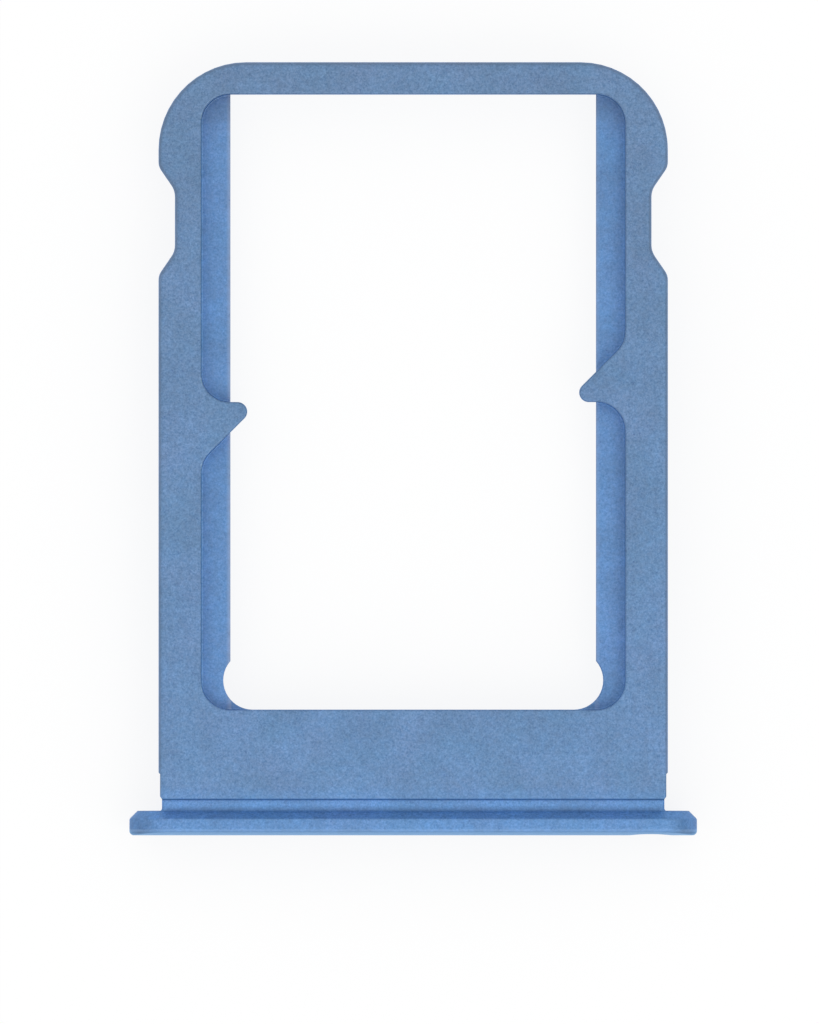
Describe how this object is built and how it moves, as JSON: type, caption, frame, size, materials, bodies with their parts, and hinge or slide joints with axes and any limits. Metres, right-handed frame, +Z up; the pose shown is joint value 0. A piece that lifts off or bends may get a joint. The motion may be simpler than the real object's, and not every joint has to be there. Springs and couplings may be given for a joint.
{
  "type": "sim card tray",
  "caption": "Slim milled aluminium tray that holds two nano SIM cards in keyed bays behind a round-ended head plate with an eject hole.",
  "frame": {"origin": "middle of the tray's box, at its lowest level, the underside of the head plate", "axes": "+X across the tray towards the side with the eject hole, +Y from the head plate into the phone, +Z up out of the card bays"},
  "size_m": [0.0166, 0.0226, 0.0022],
  "materials": {
    "anodised_aluminium": "fine bead-blasted and anodised blue, satin"
  },
  "bodies": {
    "root": {"card_tray": "anodised_aluminium"}
  },
  "joints": []
}
